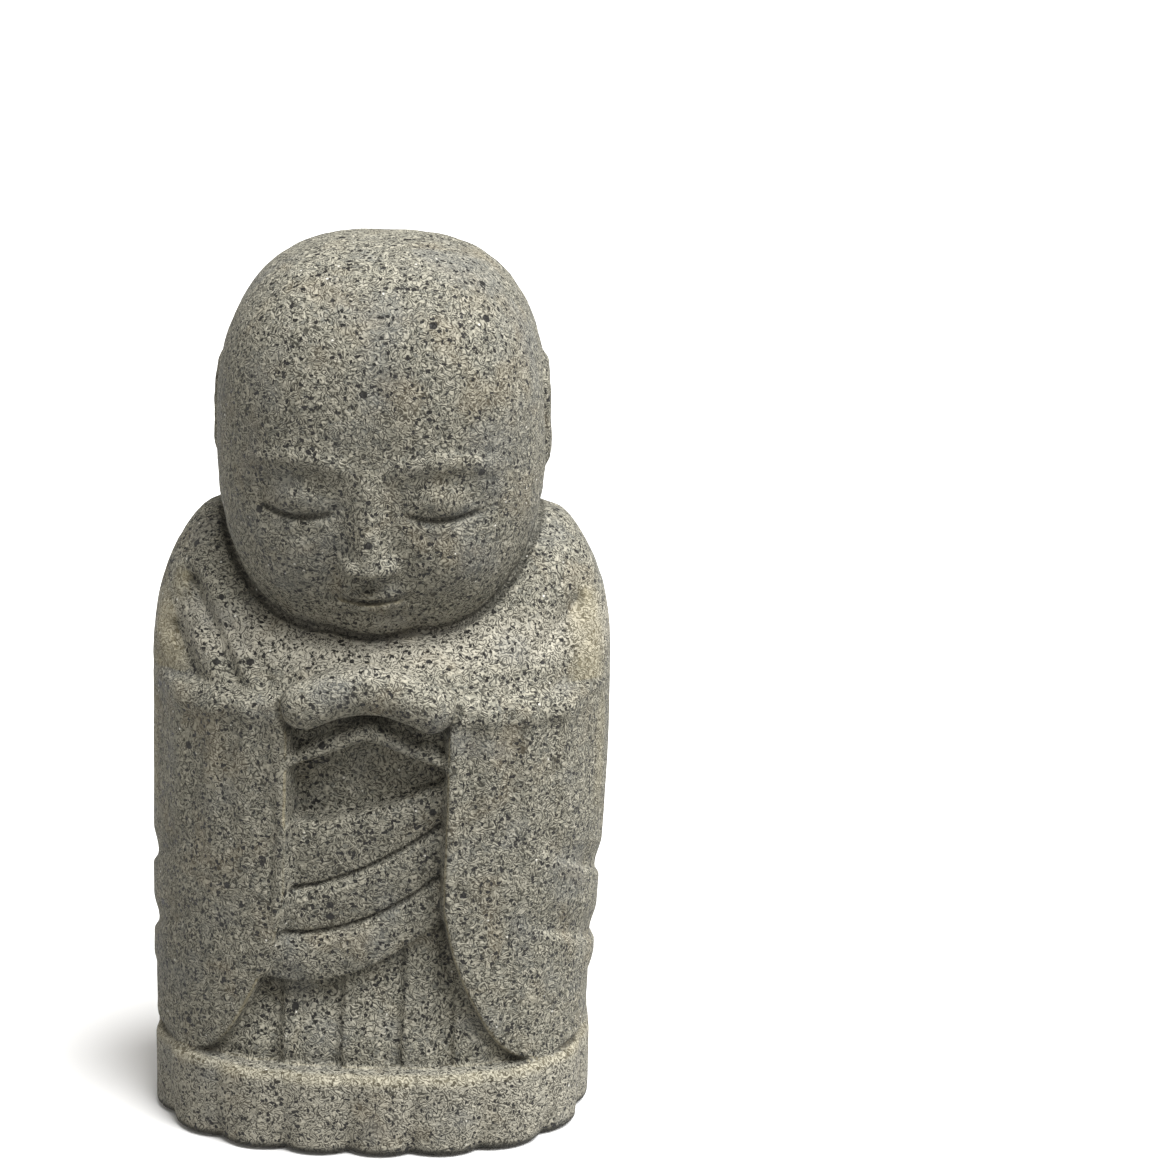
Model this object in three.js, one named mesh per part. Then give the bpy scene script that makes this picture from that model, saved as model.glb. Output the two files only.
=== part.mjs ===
// Small granite jizo: a child monk with his hands joined inside long sleeves, cut from one block
// together with the lobed band that he stands on.
// Millimetres, +Z up, the face looks along -Y, and the origin is under the middle of the base.
import * as THREE from "three";
import { mergeVertices } from "three/addons/utils/BufferGeometryUtils.js";

// Driving sizes of the block
const HEIGHT = 300; // ground to crown
const ROBE_WIDTH = 153; // across the sleeves
const BASE_WIDTH = 0.971 * ROBE_WIDTH;
const BASE_DEPTH = 0.413 * HEIGHT;
const HEAD_WIDTH = 0.36 * HEIGHT;
const HEAD_DEPTH = 0.36 * HEIGHT;

// Heights worked out from the whole
const BAND_TOP = 0.095 * HEIGHT; // upper edge of the lobed base band
const HEAD_HEIGHT = 0.44 * HEIGHT;
const CROWN_LIFT = 0.3; // the bow of the head lifts the back of the crown by this much
const HEAD_MID = HEIGHT - HEAD_HEIGHT / 2 - CROWN_LIFT; // level of the brow, half of the head
const FOREARM_TOP = 0.528 * HEIGHT; // level ledge where the sleeves hang from the arms
const SHOULDER_START = 0.5 * HEIGHT; // where the robe begins to round over
const SHOULDER_RISE = 0.25 * HEIGHT;
const CHEST_START = FOREARM_TOP; // where the chest begins to slope back under the chin
const SHOULDER_TOP = SHOULDER_START + SHOULDER_RISE - 4;

// Plan of the robe and the base: rounded rectangles between an ellipse and a square
const ROBE_POWER = 2.3;
const BASE_POWER = 2.55;
const ROBE_DEPTH = 0.94 * BASE_DEPTH;
const HEAD_FORWARD = 4; // the head's middle lies this far in front of the robe's
const HEAD_TILT = THREE.MathUtils.degToRad(4); // bowed a little
const SWAY = 2.2; // the foot of the robe and the base stand this far to the viewer's left

// Blank that is carved: rings of points around an upright axis
const COLUMNS = 60;
const FRONT_CROWDING = 0.42; // columns stand closer together on the carved front
const FINE_STEPS = 4; // finer steps that find the length along the stone
const EDGE_COLUMN = 6; // this column runs down the inner side of the sleeve's edge
const EDGE_INSIDE = THREE.MathUtils.degToRad(0.4); // how far the two columns at that edge
const EDGE_OUTSIDE = THREE.MathUtils.degToRad(2.6); // stand to its inner and outer side
const FAN_ROWS = 11; // rings over the crown
const FAR = 95; // outside the block in every level direction

const { smoothstep, degToRad, radToDeg, clamp, lerp, mapLinear } = THREE.MathUtils;

// Smooth meeting of two surfaces, rounded over a width k: union, then intersection
const join = (a, b, k) => Math.min(a, b) - Math.max(k - Math.abs(a - b), 0) ** 2 / (4 * k);
const meet = (a, b, k) => -join(-a, -b, k);
// A smooth hill of height 1 and half width 1
const hill = (t) => (Math.abs(t) < 1 ? (1 - t * t) ** 2 : 0);
const hill2 = (u, v) => hill(Math.hypot(u, v));

// Distance outside a rounded rectangle of half sizes a and b, along the ray from its middle
function outsidePlan(x, y, a, b, power) {
  const reach = Math.hypot(x, y);
  const size = (Math.abs(x / a) ** power + Math.abs(y / b) ** power) ** (1 / power);
  return size > 0 ? reach - reach / size : -Math.min(a, b);
}

// Distance in a plane from a point to the line between two points
function toSegment(x, z, [x0, z0], [x1, z1]) {
  const [dx, dz] = [x1 - x0, z1 - z0];
  const t = clamp(((x - x0) * dx + (z - z0) * dz) / (dx * dx + dz * dz), 0, 1);
  return Math.hypot(x - x0 - t * dx, z - z0 - t * dz);
}

// Face --------------------------------------------------------------------------------------
// The lower half of the head has four equal parts: eyes, nose, mouth and chin.
const PART = HEAD_HEIGHT / 8;
const EYE_LEVEL = -0.5 * PART;
const NOSE_FOOT = -2 * PART;
const MOUTH_LEVEL = -2.55 * PART;
const CHIN_LEVEL = -3.3 * PART;
const EYE_WIDTH = HEAD_WIDTH / 4.6;
const EYE_X = 0.98 * EYE_WIDTH; // middle of each eye, a little under one eye width from the midline
const FACE_RELIEF = 1.3; // the carved features stand out this many times as far as drawn below

// Height of the face over the plain head, at u across and w above the brow level
function faceHeight(u, w) {
  const side = Math.abs(u);
  const eye = (side - EYE_X) / (EYE_WIDTH / 2);
  // brow: a soft arch, full above and stepped back below
  const brow = 3.5 - 5.5 * ((side - EYE_X) / EYE_WIDTH) ** 2;
  const browReach = smoothstep(side, 3, 9) * (1 - smoothstep(side, 34, 46));
  const socket = -2.4 * hill2(eye / 1.75, (w - EYE_LEVEL + 0.5) / 14) * smoothstep(brow - w, -1.5, 2.5);
  const browRoll = 0.9 * hill((w - brow - 2) / 5) * browReach;
  // closed lid: a low dome that ends at the curved line of the lashes
  const lashes = EYE_LEVEL - 3.8 - 1.6 * (1 - Math.min(eye * eye, 1.4));
  const lid = 3.3 * hill2(eye / 1.12, (w - EYE_LEVEL) / 8.2) * smoothstep(w - lashes, -0.8, 0.8);
  const lashLine = -0.9 * hill((w - lashes) / 1.5) * (1 - smoothstep(Math.abs(eye), 0.85, 1.15));
  const lowerLid = 0.9 * hill((w - lashes + 3) / 3.4) * hill(eye / 1.3);
  // nose: a narrow bridge that widens to a small round tip with two wings
  const along = clamp(-w / -NOSE_FOOT, 0, 1);
  const bridge = (0.8 + 6.2 * along ** 1.6) * hill(u / (6 + 4.5 * along));
  const noseEnd = smoothstep(w, NOSE_FOOT - 0.8, NOSE_FOOT + 2.6) * (1 - smoothstep(w, -4, 7));
  const wings = 3.4 * hill2((side - 6.6) / 5, (w - NOSE_FOOT - 3.6) / 5);
  // mouth: two soft lips and the line between them, level and at rest
  const mouthHalf = 11.5;
  const across = u / mouthHalf;
  const line = MOUTH_LEVEL + 0.9 * across * across;
  const muzzle = 2.0 * hill2(u / 19, (w - MOUTH_LEVEL) / 13);
  const upperLip = 1.7 * hill((w - line - 2.2) / 3) * hill(across / 1.12);
  const lowerLip = 1.9 * hill((w - line + 2.6) / 3.4) * hill(across / 0.95);
  const mouthLine = -1.1 * hill((w - line) / 1.4) * (1 - smoothstep(Math.abs(across), 0.85, 1.1));
  const corners = -0.9 * hill2((side - mouthHalf - 0.6) / 3, (w - MOUTH_LEVEL - 0.8) / 3.4);
  const philtrum = -0.6 * hill(u / 2.4) * hill((w - (NOSE_FOOT + MOUTH_LEVEL) / 2 - 1) / 4.4);
  // chin and cheeks
  const chin = 2.6 * hill2(u / 15, (w - CHIN_LEVEL) / 9);
  const underLip = -0.8 * hill2(u / 10, (w - MOUTH_LEVEL + 8) / 4);
  const cheek = 2.2 * hill2((side - 27) / 21, (w - NOSE_FOOT - 2) / 18);
  const eyes = socket + browRoll + lid + lashLine + lowerLid;
  const mouth = muzzle + upperLip + lowerLip + mouthLine + corners + philtrum;
  return FACE_RELIEF * (eyes + bridge * noseEnd + wings + mouth + chin + underLip) + cheek;
}

// Low ear slab on the side of the head, at v behind its middle and w above the brow level
function earHeight(v, w) {
  const rim = Math.hypot(Math.abs((v - 5) / 10) ** 1.6, Math.abs((w - 9) / 18) ** 1.6);
  const slab = 1.6 * (1 - smoothstep(rim, 0.8, 1.15));
  const bowl = -1.1 * hill2((v - 5.5) / 6, (w - 11) / 11);
  const frontGroove = -0.8 * hill((v + 7) / 2.6) * hill((w - 8) / 20);
  return slab + bowl + frontGroove;
}

const COS_TILT = Math.cos(HEAD_TILT);
const SIN_TILT = Math.sin(HEAD_TILT);

function head(x, y, z) {
  const forward = y + HEAD_FORWARD;
  const v = COS_TILT * forward + SIN_TILT * (z - HEAD_MID);
  const w = -SIN_TILT * forward + COS_TILT * (z - HEAD_MID);
  const low = clamp(-w / (HEAD_HEIGHT / 2), 0, 1);
  const power = 2.5 + 0.2 * smoothstep(w, 0, 30) + (v < 0 ? 0.5 : -0.2) * low * low;
  const taper = 1 - 0.09 * low * low;
  const size =
    (Math.abs(x / (taper * HEAD_WIDTH / 2)) ** power +
      Math.abs(v / (taper * HEAD_DEPTH / 2)) ** power +
      Math.abs(w / (HEAD_HEIGHT / 2)) ** power) ** (1 / power);
  const reach = Math.hypot(x, v, w);
  const plain = size > 0 ? reach - reach / size : -HEAD_WIDTH / 2;
  const face = faceHeight(x, w) * smoothstep(-v, 14, 34);
  const ear = earHeight(v, w) * smoothstep(Math.abs(x), 40, 48);
  return plain - face - ear;
}

// Robe --------------------------------------------------------------------------------------
// Opening between the sleeves: straight at first, then spreading to two hanging tips
const SLEEVE_GAP = 26; // half width of the opening
const FLARE_TOP = 92; // where the sleeve edges begin to spread
const TIP_X = 60;
const TIP_Z = 28.5;
// Lines across the opening, rising to one side: height on the midline, slope, curvature
const SHELF = [118, 0.29, 0.005];
const FIRST_FOLD = [98, 0.48, 0.006];
const SECOND_FOLD = [79.8, 0.42, 0.0085];
const HEM = [62, 0.42, 0.0095];
const lineAt = ([height, slope, curve], x) => height + slope * x + curve * x * x;
// Cuffs: two straight edges that meet on the midline like a low roof
const CUFF_TOP = [149, 0.5];
const CUFF_FOOT = [142, 0.38];
const roofAt = ([height, fall], x) => height - fall * Math.abs(x);
// Depths of the carved levels below the sleeves' front
const LEDGE_FALL = 5; // the forearm's upper side slopes down this much to its front
const CHEST_DEPTH = 5.5;
const CUFF_DEPTH = 6;
const POCKET_DEPTH = 15;
const BELLY_DEPTH = 10;
const SKIRT_DEPTH = 10.5; // under the hem
const SKIRT_FOOT = 4; // at the base band

// How far the robe leans to the viewer's left at a height
const swayAt = (z) => SWAY * (1 - smoothstep(z, 40, 140));

// Half width of the opening at a height
const openingAt = (z) => SLEEVE_GAP + 19 * Math.max((FLARE_TOP - z) / 55, 0) ** 1.8;

// How far a point of the front view is outside the sleeves (negative on a sleeve)
function outsideSleeve(side, z) {
  const hemline = TIP_Z + 0.02 * (side - TIP_X) ** 2;
  return meet(openingAt(z) - side, hemline - z, 7);
}

// One soft roll of cloth between two lines: fullest under its upper edge, undercut at its foot
const CREST = 0.7;
function roll(x, z, upper, lower, height) {
  const [top, foot] = [lineAt(upper, x), lineAt(lower, x)];
  const t = clamp((z - foot) / (top - foot), 0, 1);
  const falling = 1 - 0.45 * ((CREST - t) / CREST) ** 2;
  const turning = Math.sqrt(Math.max(1 - ((t - CREST) / (1 - CREST)) ** 2, 0));
  return height * (t < CREST ? falling : turning) * smoothstep(z - foot, -0.2, 1.1);
}

// Pleats of the skirt: each falls in slowly on one side and comes out sharply on the other
const PLEATS = [-28, -8, 12, 29];
const PLEAT_DEPTH = 2.4;

// Depth of the middle of the front, seen through the opening between the sleeves
function middleDepth(x, z) {
  const cuffLip = 2.4 * hill((z - (roofAt(CUFF_TOP, x) + roofAt(CUFF_FOOT, x)) / 2) / 4.5);
  const cuffHollow = 3 * smoothstep(z - roofAt(CUFF_TOP, x), -1, 3);
  const pocket = smoothstep(roofAt(CUFF_FOOT, x) - z, -1, 1.6);
  const belly = smoothstep(lineAt(SHELF, x) - z, -1.2, 2.2);
  const skirt = smoothstep(lineAt(HEM, x) - z, -0.5, 0.6);
  const rolls =
    roll(x, z, SHELF, FIRST_FOLD, 3.6) + roll(x, z, FIRST_FOLD, SECOND_FOLD, 3.8) +
    roll(x, z, SECOND_FOLD, HEM, 4);
  const pleats = PLEATS.reduce((sum, at) => sum + PLEAT_DEPTH * hill((x - at) / (x < at ? 7 : 3)), 0);
  const bellyDepth = BELLY_DEPTH + 0.05 * x - 1.5 * smoothstep(84 - z, 0, 22);
  const skirtDepth = lerp(SKIRT_FOOT, SKIRT_DEPTH, smoothstep(z, BAND_TOP + 2, lineAt(HEM, x)));
  let depth = CUFF_DEPTH + cuffHollow - cuffLip;
  depth += pocket * (POCKET_DEPTH - depth);
  depth += belly * (bellyDepth - rolls - depth);
  depth += skirt * (skirtDepth + pleats - depth);
  return depth;
}

// Folds at the shoulders, deeper on the viewer's left: two ends, depth and half width
const SHOULDER_FOLDS = [
  [[-60, 186], [-44, 159], 2.8, 4.2],
  [[-66, 170], [-58, 158], 1.4, 4],
  [[-46, 174], [-33, 160], 1.4, 4],
  [[65, 182], [48, 161], 1.3, 4.2],
  [[46, 178], [36, 161], 0.8, 4],
];

function shoulderFolds(x, z) {
  return SHOULDER_FOLDS.reduce((sum, [from, to, depth, half]) => {
    const away = toSegment(x, z, from, to) / half;
    return sum + depth * (hill(away) - 0.2 * hill((away - 1.7) / 0.9));
  }, 0);
}

// Back edge of the forearm's upper side, where the chest begins
const ledgeAt = (side) => FOREARM_TOP - 0.02 * side;

// Depth carved into the front of the robe
function frontDepth(x, z) {
  const side = Math.abs(x);
  const ledge = ledgeAt(side);
  const climb = clamp((z - ledge + LEDGE_FALL) / LEDGE_FALL, 0, 1);
  const chest =
    CHEST_DEPTH * climb ** 1.7 * (1 - smoothstep(side, 60, 76)) *
    (1 - 0.7 * smoothstep(z, 172, 200)) * (0.5 + 0.5 * smoothstep(side, 12, 32));
  const lip = -1.2 * hill((z - ledge + LEDGE_FALL + 2.5) / 4.5) * (1 - smoothstep(side, 62, 76));
  const outside = outsideSleeve(side, z);
  const underArms = 1 - smoothstep(z - ledge, -6, -3);
  // the edge is softer on the viewer's left
  const edge = 2.2 + 0.9 * (1 - smoothstep(x, -30, 10));
  const opening = smoothstep(outside, -0.4 * edge, edge) * underArms;
  const flutes = 0.6 * (1 - Math.cos((side - 28) * 0.52)) * smoothstep(z, 92, 120) * underArms;
  const innerHem = (x < 0 ? 0.9 : 0.4) * hill((outside + 4.5) / 1.8) * smoothstep(z, 70, 84) *
    (1 - smoothstep(z, 118, 128));
  const sleeve = (1 - opening) * (flutes + innerHem);
  return chest + lip + opening * middleDepth(x, z) + sleeve + shoulderFolds(x, z);
}

// Folds that swing round the sides of the sleeves: start angle from the front, level, fall
const SIDE_FOLDS = [
  [48, 107, 30],
  [46, 81, 26],
];
const SIDE_FOLD_DEPTH = 1.7;

function sideDepth(angle, z) {
  const folds = SIDE_FOLDS.reduce((sum, [start, level, fall]) => {
    const t = clamp((angle - start) / 75, 0, 1);
    const at = level - fall * Math.sin((t * Math.PI) / 2);
    const reach = smoothstep(angle, start, start + 18) * (1 - smoothstep(angle, 125, 150));
    const above = (z - at) / 10;
    const below = (at - z) / 4;
    return sum + SIDE_FOLD_DEPTH * reach * (z > at ? hill(above) : hill(below));
  }, 0);
  // under the sleeve hem the skirt lies further back, all the way round
  const hemline = 51 + 10 * smoothstep(angle, 85, 140);
  const skirt = 1.6 * smoothstep(hemline - z, -1.5, 2) * smoothstep(angle, 72, 88);
  return folds + skirt;
}

// Shallow folds across the back, from one shoulder down to the other hip: levels on the midline
const BACK_FOLDS = [158, 126, 94];
const BACK_FOLD_DEPTH = 1;

function backDepth(x, z) {
  return BACK_FOLDS.reduce((sum, level) => {
    const at = level + 0.42 * x - 0.003 * x * x;
    return sum + BACK_FOLD_DEPTH * (z > at ? hill((z - at) / 9) : hill((z - at) / 3.5));
  }, 0);
}

function robe(middleX, y, z) {
  const x = middleX + swayAt(z);
  const angle = radToDeg(Math.atan2(Math.abs(x), -y));
  const over = clamp((z - SHOULDER_START) / SHOULDER_RISE, 0, 0.99);
  const shoulder = (1 - over ** 2.7) ** 0.38;
  const slope = clamp((z - CHEST_START) / (SHOULDER_TOP - CHEST_START), 0, 0.99);
  // the front slopes back sooner than the sides, most of all under the chin
  const chest = lerp(1 - slope ** 1.05, shoulder, 0.55 * smoothstep(Math.abs(x), 18, 62));
  const slim = 1 - 0.02 * (1 - smoothstep(z, 30, 130));
  const halfWidth = (ROBE_WIDTH / 2) * slim * shoulder;
  const halfDepth = (ROBE_DEPTH / 2) * slim * (y < 0 ? chest : shoulder);
  const column = outsidePlan(x, y, halfWidth, halfDepth, ROBE_POWER);
  const front = smoothstep(-y, 2, 16);
  const back = smoothstep(y, 8, 28);
  const depth = front * frontDepth(x, z) + (1 - back) * sideDepth(angle, z) +
    back * (backDepth(x, z) + sideDepth(angle, z));
  return Math.max(column + depth, z - SHOULDER_TOP);
}

// Joined hands: a row of knuckles that arches from one fist to the other.
// Each end and bend: side, depth, height and radius.
const HAND_ROW = [
  [20.4, -54.2, 154.4, 8],
  [9.5, -53, 158.3, 7.5],
  [0, -53, 159.8, 8.2],
];
const HAND_TOP = 168;
const HAND_FOOT = 153;

function hands(x, y, z) {
  const side = Math.abs(x);
  let distance = FAR;
  for (let i = 1; i < HAND_ROW.length; i += 1) {
    const [fromX, fromY, fromZ, fromRadius] = HAND_ROW[i - 1];
    const [toX, toY, toZ, toRadius] = HAND_ROW[i];
    const [dx, dy, dz] = [toX - fromX, toY - fromY, toZ - fromZ];
    const along = (side - fromX) * dx + (y - fromY) * dy + (z - fromZ) * dz;
    const t = clamp(along / (dx * dx + dy * dy + dz * dz), 0, 1);
    const away = Math.hypot(side - fromX - t * dx, y - fromY - t * dy, z - fromZ - t * dz);
    distance = join(distance, away - lerp(fromRadius, toRadius, t), 1.5);
  }
  return distance;
}

// Base band: upright lobes all round, with a worn upper edge and a rounded foot
const LOBES = 18;
const LOBE_TURN = degToRad(17);
const FOOT_ROUND = 2.6;

function baseBand(middleX, y, z) {
  const x = middleX + SWAY;
  const angle = Math.atan2(x, -y);
  const lobe = (Math.sin((LOBES / 2) * (angle - LOBE_TURN)) ** 2 + 0.015) ** 0.3;
  const cut = (1 - Math.min(lobe, 1)) * (2 + 2.6 * (1 - smoothstep(z, 0, 12)));
  const low = Math.max(FOOT_ROUND - z, 0);
  const foot = FOOT_ROUND - Math.sqrt(Math.max(FOOT_ROUND ** 2 - low ** 2, 0));
  const ring = outsidePlan(x, y, BASE_WIDTH / 2, BASE_DEPTH / 2, BASE_POWER) + cut + foot;
  return meet(ring, z - BAND_TOP, 4);
}

// The figure without its hands, and the whole carving: negative inside the stone
function figure(x, y, z, groove = 0) {
  const skull = head(x, y, z);
  const collar = 4.5 * hill(Math.max(skull, 0) / 12); // hollow worn around the head
  return join(join(robe(x, y, z) + collar + groove, baseBand(x, y, z), 2), skull, 1.5);
}

function carving(x, y, z) {
  const near = z > FOREARM_TOP - 28 && z < FOREARM_TOP + 20 && y < -30;
  if (!near) return figure(x, y, z);
  const joined = hands(x, y, z);
  // a groove runs round the hands at the sides and below; above they run into the chest
  const beside = 1 - smoothstep(z + 0.35 * Math.abs(x), FOREARM_TOP + 5, FOREARM_TOP + 9);
  const groove = 2.4 * beside * hill(Math.max(joined, 0) / 4);
  return join(figure(x, y, z, groove), joined, 1);
}

// Carving the blank -------------------------------------------------------------------------
// Outermost point of a solid on a ray from the axis
function surfaceOn(origin, direction, solid) {
  const inside = (t) =>
    solid(origin.x + t * direction.x, origin.y + t * direction.y, origin.z + t * direction.z) < 0;
  let outer = FAR;
  while (outer > 1 && !inside(outer - 1)) outer -= 1;
  let inner = outer - 1;
  for (let i = 0; i < 14; i += 1) {
    const middle = (inner + outer) / 2;
    if (inside(middle)) inner = middle;
    else outer = middle;
  }
  return origin.clone().addScaledVector(direction, inner);
}

// Level at which the outermost stone changes from robe to head, on the side that faces an angle
function jawLevel(angle) {
  const ray = new THREE.Vector3(Math.sin(angle), -Math.cos(angle), 0);
  let [low, high] = [FOREARM_TOP + 2, HEAD_MID - 8];
  for (let i = 0; i < 12; i += 1) {
    const level = (low + high) / 2;
    const at = surfaceOn(axisPoint(level), ray, figure);
    if (head(at.x, at.y, at.z) < robe(at.x, at.y, at.z)) high = level;
    else low = level;
  }
  return (low + high) / 2;
}

// The axis that the rays leave from leans forward into the head
function axisPoint(z) {
  return new THREE.Vector3(0, -HEAD_FORWARD * smoothstep(z, 120, HEAD_MID), z);
}

// Angle from the front of a column of points at a height. Up to the edge of the opening the columns
// spread with it, two columns run down the two sides of that edge, and the rest close up to the side.
const SIDE = degToRad(100); // behind this angle the columns keep their even places
const evenAngle = (step) => {
  const turn = (step / COLUMNS) * 2 * Math.PI;
  return turn - FRONT_CROWDING * Math.sin(turn);
};

function columnAngle(column, z) {
  const step = Math.min(column, COLUMNS - column);
  const x = openingAt(Math.max(z, BAND_TOP));
  const front = (ROBE_DEPTH / 2) * (1 - (x / (ROBE_WIDTH / 2)) ** ROBE_POWER) ** (1 / ROBE_POWER);
  const lean = column === step ? -swayAt(z) : swayAt(z);
  const edge = Math.atan((x + lean) / front);
  const even = evenAngle(step);
  let angle = even;
  if (step <= EDGE_COLUMN) angle *= (edge - EDGE_INSIDE) / evenAngle(EDGE_COLUMN);
  else if (even < SIDE) {
    angle = mapLinear(even, evenAngle(EDGE_COLUMN + 1), SIDE, edge + EDGE_OUTSIDE, SIDE);
  }
  return column === step ? angle : 2 * Math.PI - angle;
}

// Point of the carving on a column, along a ray from the axis
function pointOn(column, z, slope) {
  const angle = columnAngle(column, z);
  const flat = Math.cos(slope);
  const ray = new THREE.Vector3(flat * Math.sin(angle), -flat * Math.cos(angle), Math.sin(slope));
  return surfaceOn(axisPoint(z), ray, carving);
}

// Points from the ground to the crown along a column.
// The rings follow the folds across the opening, the hands, the forearms and the line of the jaw.
function columnPoints(column) {
  const across = (level) => {
    const angle = columnAngle(column, level);
    const front = Math.min(angle, 2 * Math.PI - angle);
    const reach = Math.min((ROBE_DEPTH / 2) * Math.tan(Math.min(front, 1)), openingAt(level));
    return Math.sign(Math.sin(angle)) * reach * (1 - smoothstep(front, 0.8, 2.4));
  };
  const levelOf = (line) => lineAt(line, across(line[0]));
  const roofOf = (roof) => roofAt(roof, across(roof[0]));
  const handAngle = columnAngle(column, FOREARM_TOP);
  const side = (ROBE_DEPTH / 2) * Math.tan(Math.min(handAngle, 2 * Math.PI - handAngle, 1));
  const handTop = lerp(HAND_TOP, FOREARM_TOP, smoothstep(side, 0, 31));
  const handFoot = lerp(HAND_FOOT - 0.33 * side, FOREARM_TOP - LEDGE_FALL - 1, smoothstep(side, 21, 29));
  const jaw = jawLevel(columnAngle(column, FOREARM_TOP));
  // upper edge of each band of rings, its number of rings, and whether they are spaced along the stone
  const bands = [
    [FOOT_ROUND, 3],
    [BAND_TOP - 4, 2],
    [BAND_TOP + 3, 5],
    [levelOf(HEM) - 0.7, 6],
    [levelOf(HEM) + 1, 1],
    [levelOf(SECOND_FOLD) + 0.2, 3],
    [levelOf(SECOND_FOLD) + 1.4, 1],
    [levelOf(FIRST_FOLD) + 0.2, 3],
    [levelOf(FIRST_FOLD) + 1.4, 1],
    [levelOf(SHELF) - 1.6, 3],
    [levelOf(SHELF) + 1.2, 1],
    [roofOf(CUFF_FOOT) - 1.4, 4],
    [roofOf(CUFF_FOOT) + 1, 1],
    [roofOf(CUFF_TOP) + 1, 2],
    [handFoot - 0.4, 1],
    [handFoot + 1, 1],
    [handTop - 0.8, 5, true],
    [handTop + 0.6, 1],
    [jaw - 0.5, 4, true],
    [jaw + 0.5, 1],
    [HEAD_MID, 18],
  ];
  const points = [];
  let from = 0;
  for (const [edge, count, alongStone] of bands) {
    const top = Math.max(edge, from + 0.3 * count);
    const steps = alongStone ? count * FINE_STEPS : count;
    const walk = Array.from({ length: steps + 1 }, (_, i) => pointOn(column, lerp(from, top, i / steps), 0));
    if (alongStone) {
      const path = new THREE.CurvePath();
      for (let i = 0; i < steps; i += 1) path.add(new THREE.LineCurve3(walk[i], walk[i + 1]));
      points.push(...path.getSpacedPoints(count).slice(0, count));
    } else points.push(...walk.slice(0, count));
    from = top;
  }
  for (let i = 0; i < FAN_ROWS; i += 1) {
    points.push(pointOn(column, HEAD_MID, (i / FAN_ROWS) * (Math.PI / 2)));
  }
  const crown = surfaceOn(axisPoint(HEAD_MID), new THREE.Vector3(0, 0, 1), carving);
  return [new THREE.Vector3(0, 0, 0), ...points, crown];
}

function carveBlank() {
  const columns = Array.from({ length: COLUMNS }, (_, column) => columnPoints(column));
  const rows = columns[0].length;
  const profile = columns[0].map((_, row) => new THREE.Vector2(Math.sin((row / (rows - 1)) * Math.PI), row));
  const blank = new THREE.LatheGeometry(profile, COLUMNS);
  const place = blank.attributes.position;
  for (let seam = 0; seam <= COLUMNS; seam += 1) {
    columns[seam % COLUMNS].forEach((point, row) => {
      place.setXYZ(seam * rows + row, point.x, point.y, point.z);
    });
  }
  blank.deleteAttribute("normal");
  blank.deleteAttribute("uv");
  const merged = mergeVertices(blank, 1e-3);
  // triangles that closed up at the two poles are dropped
  const corners = merged.index.array;
  const kept = [];
  for (let i = 0; i < corners.length; i += 3) {
    const [a, b, c] = corners.slice(i, i + 3);
    if (a !== b && b !== c && c !== a) kept.push(a, b, c);
  }
  merged.setIndex(kept);
  return merged;
}

const granite = new THREE.MeshStandardMaterial({ color: 0x96928a, roughness: 0.9, metalness: 0 });

function statue() {
  const geometry = carveBlank();
  geometry.computeVertexNormals();
  const mesh = new THREE.Mesh(geometry, granite);
  mesh.name = "statue";
  return mesh;
}

const jizo = new THREE.Group();
jizo.add(statue());
export default jizo;
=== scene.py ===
"""A small granite jizo: a child monk with joined hands under long sleeves, on a lobed base band."""

import math

import bpy
import numpy as np
from bpy.props import FloatProperty, FloatVectorProperty, PointerProperty
from mathutils import Matrix, Vector


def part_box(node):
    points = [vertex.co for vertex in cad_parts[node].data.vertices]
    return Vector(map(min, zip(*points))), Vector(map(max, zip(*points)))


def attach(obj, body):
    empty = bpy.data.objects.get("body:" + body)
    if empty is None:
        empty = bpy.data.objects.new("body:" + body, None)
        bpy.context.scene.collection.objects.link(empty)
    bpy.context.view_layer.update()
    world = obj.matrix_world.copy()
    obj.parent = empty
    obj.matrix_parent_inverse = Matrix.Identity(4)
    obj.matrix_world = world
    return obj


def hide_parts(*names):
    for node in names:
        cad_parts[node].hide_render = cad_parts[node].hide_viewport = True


bl_info = {
    "name": "Granite Jizo",
    "version": (1, 0, 0),
    "blender": (4, 5, 0),
    "location": "View3D > Sidebar > Jizo",
    "description": "Carves a small granite jizo around its packed solid and sets it on a pale stage",
    "category": "Add Mesh",
}

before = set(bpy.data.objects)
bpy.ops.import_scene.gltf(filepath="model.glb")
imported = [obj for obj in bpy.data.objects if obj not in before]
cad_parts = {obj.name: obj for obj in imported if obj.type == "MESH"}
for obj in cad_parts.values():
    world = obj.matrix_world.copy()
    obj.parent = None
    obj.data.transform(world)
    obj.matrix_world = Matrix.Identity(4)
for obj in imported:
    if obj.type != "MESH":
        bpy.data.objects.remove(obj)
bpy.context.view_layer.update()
LOW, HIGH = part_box("statue")
MM = 0.001

# Driving sizes of the block in millimetres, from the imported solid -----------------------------
HEIGHT = (HIGH.z - LOW.z) / MM
ROBE_WIDTH = (HIGH.x - LOW.x) / MM
BASE_DEPTH = 0.413 * HEIGHT
MIDDLE = Vector(((HIGH.x + LOW.x) / 2, (HIGH.y + LOW.y) / 2, LOW.z))

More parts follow.
